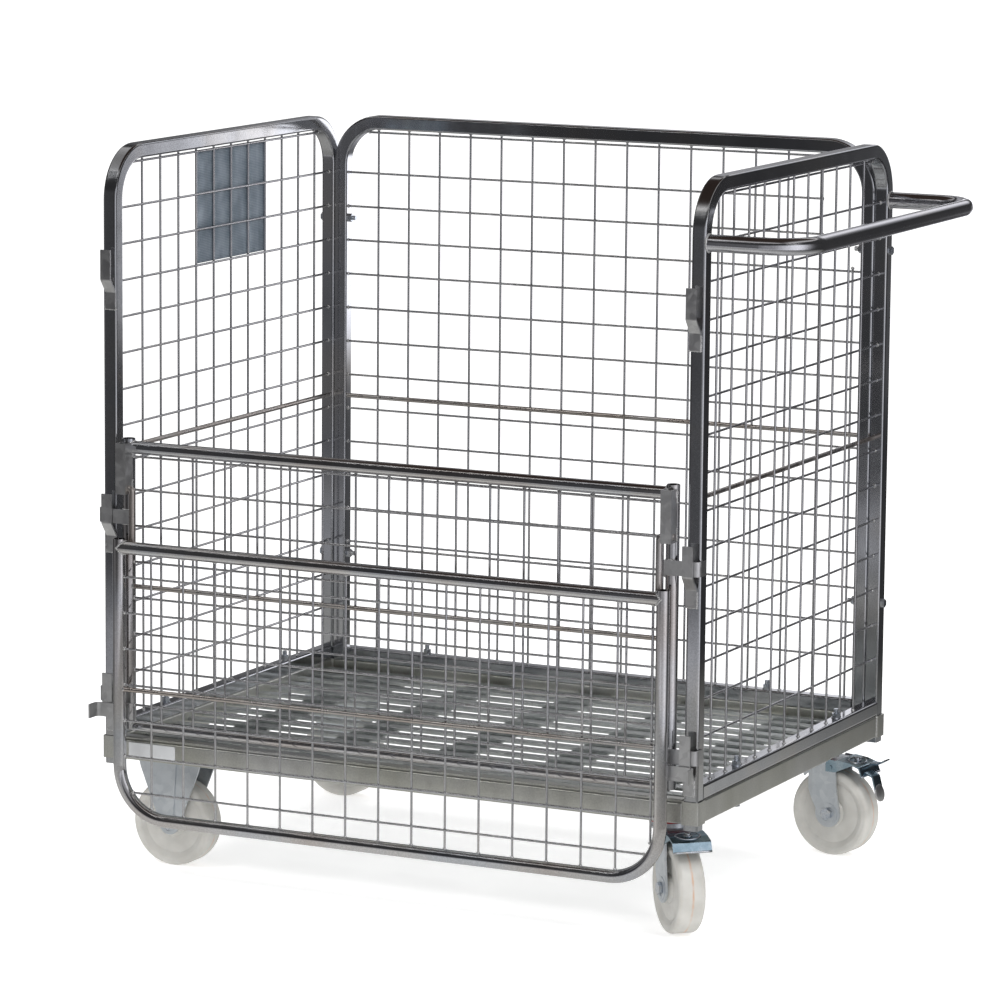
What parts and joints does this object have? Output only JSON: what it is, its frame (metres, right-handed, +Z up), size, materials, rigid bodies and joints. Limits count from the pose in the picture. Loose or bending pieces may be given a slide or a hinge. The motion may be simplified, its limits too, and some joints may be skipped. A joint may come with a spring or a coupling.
{
  "type": "roll cage container",
  "caption": "Wheeled zinc-plated cage with mesh sides and back, a lift-off front gate with a fold-down mesh flap, a push handle and castors.",
  "frame": {"origin": "on the floor, under the centre of the whole bounding box", "axes": "+X to the push handle and swivel casters, +Y from the front gate to the back panel, +Z up"},
  "size_m": [1.2773, 0.851, 1.235],
  "materials": {
    "tube_zinc": "bright zinc-plated square tube, satin to mirror",
    "round_tube_zinc": "bright zinc-plated round tube with a faint pinkish passivation sheen",
    "rod_zinc": "zinc-plated rod with a faint bronze sheen",
    "wire_zinc": "bright zinc-plated drawn wire",
    "handle_zinc": "bright zinc-plated round tube",
    "base_zinc": "zinc-plated rail with a faint greenish-beige passivation",
    "deck_zinc": "dull galvanised strip",
    "strap_zinc": "dull zinc-plated flat bar",
    "fastener_zinc": "bluish bright zinc",
    "caster_zinc": "light-blue zinc-plated pressed sheet",
    "pedal_zinc": "dark teal zinc-plated pressing",
    "wheel_nylon": "off-white satin nylon",
    "seal_plastic": "red plastic",
    "info_plate": "blue-grey finely textured plate",
    "label_foil": "blank pale foil plate"
  },
  "bodies": {
    "cage": {"base_rail_left": "base_zinc", "base_rail_right": "base_zinc", "base_rail_front": "base_zinc", "base_rail_rear": "base_zinc", "deck_slats": "deck_zinc", "deck_bands": "deck_zinc", "corner_sleeves": "base_zinc", "caster_mount_plates": "deck_zinc", "label_plate": "label_foil", "left_panel_frame": "tube_zinc", "left_panel_mesh": "wire_zinc", "left_panel_mid_rod": "rod_zinc", "right_panel_frame": "tube_zinc", "right_panel_mesh": "wire_zinc", "right_panel_mid_rod": "rod_zinc", "back_panel_frame": "tube_zinc", "back_panel_mesh": "wire_zinc", "back_panel_mid_rod": "rod_zinc", "info_plate": "info_plate", "push_handle": "handle_zinc", "gate_keepers_left": "strap_zinc", "gate_keepers_right": "strap_zinc", "corner_bolts": "fastener_zinc", "corner_nuts": "fastener_zinc", "foot_bolts": "fastener_zinc", "foot_nuts": "fastener_zinc", "caster_bolts": "fastener_zinc", "fixed_fork_front": "caster_zinc", "fixed_bush_front": "fastener_zinc", "fixed_axle_front": "fastener_zinc", "swivel_plate_front": "caster_zinc", "swivel_seal_front": "seal_plastic", "fixed_fork_rear": "caster_zinc", "fixed_bush_rear": "fastener_zinc", "fixed_axle_rear": "fastener_zinc", "swivel_plate_rear": "caster_zinc", "swivel_seal_rear": "seal_plastic"},
    "front_gate": {"gate_frame": "round_tube_zinc", "gate_mesh": "wire_zinc", "gate_mid_rod": "rod_zinc", "gate_hooks": "strap_zinc", "pivot_brackets": "strap_zinc"},
    "folding_flap": {"flap_frame": "round_tube_zinc", "flap_mesh": "wire_zinc", "flap_mid_rod": "rod_zinc", "flap_hooks": "strap_zinc", "flap_hinge_rods": "rod_zinc"},
    "fixed_wheel_front": {"fixed_wheel_front": "wheel_nylon"},
    "swivel_front": {"swivel_fork_front": "caster_zinc", "swivel_bush_front": "fastener_zinc", "swivel_axle_front": "fastener_zinc"},
    "swivel_wheel_front": {"swivel_wheel_front": "wheel_nylon"},
    "pedal_front": {"brake_pedal_front": "pedal_zinc"},
    "fixed_wheel_rear": {"fixed_wheel_rear": "wheel_nylon"},
    "swivel_rear": {"swivel_fork_rear": "caster_zinc", "swivel_bush_rear": "fastener_zinc", "swivel_axle_rear": "fastener_zinc"},
    "swivel_wheel_rear": {"swivel_wheel_rear": "wheel_nylon"},
    "pedal_rear": {"brake_pedal_rear": "pedal_zinc"}
  },
  "joints": [
    {"name": "gate_lift", "type": "slide", "parent": "cage", "child": "front_gate", "axis": [0, 0, 1], "range_m": [0, 0.055]},
    {"name": "flap_fold", "type": "hinge", "parent": "front_gate", "child": "folding_flap", "pos_m": [-0.08335, -0.3955, 0.6645], "axis": [-1, 0, 0], "range_deg": [0, 180]},
    {"name": "fixed_wheel_front_spin", "type": "hinge", "parent": "cage", "child": "fixed_wheel_front", "pos_m": [-0.54535, -0.2825, 0.075], "axis": [0, 1, 0], "continuous": true},
    {"name": "swivel_front_turn", "type": "hinge", "parent": "cage", "child": "swivel_front", "pos_m": [0.37865, -0.2825, 0.17], "axis": [0, 0, 1], "continuous": true},
    {"name": "swivel_wheel_front_spin", "type": "hinge", "parent": "swivel_front", "child": "swivel_wheel_front", "pos_m": [0.40905, -0.31568, 0.075], "axis": [0.7373, 0.6756, 0], "continuous": true},
    {"name": "brake_front_press", "type": "hinge", "parent": "swivel_front", "child": "pedal_front", "pos_m": [0.41243, -0.31936, 0.158], "axis": [0.7373, 0.6756, 0], "range_deg": [0, 12]},
    {"name": "fixed_wheel_rear_spin", "type": "hinge", "parent": "cage", "child": "fixed_wheel_rear", "pos_m": [-0.54535, 0.3275, 0.075], "axis": [0, 1, 0], "continuous": true},
    {"name": "swivel_rear_turn", "type": "hinge", "parent": "cage", "child": "swivel_rear", "pos_m": [0.37865, 0.3275, 0.17], "axis": [0, 0, 1], "continuous": true},
    {"name": "swivel_wheel_rear_spin", "type": "hinge", "parent": "swivel_rear", "child": "swivel_wheel_rear", "pos_m": [0.42331, 0.32202, 0.075], "axis": [0.1219, 0.9925, 0], "continuous": true},
    {"name": "brake_rear_press", "type": "hinge", "parent": "swivel_rear", "child": "pedal_rear", "pos_m": [0.42828, 0.32141, 0.158], "axis": [0.1219, 0.9925, 0], "range_deg": [0, 12]}
  ]
}
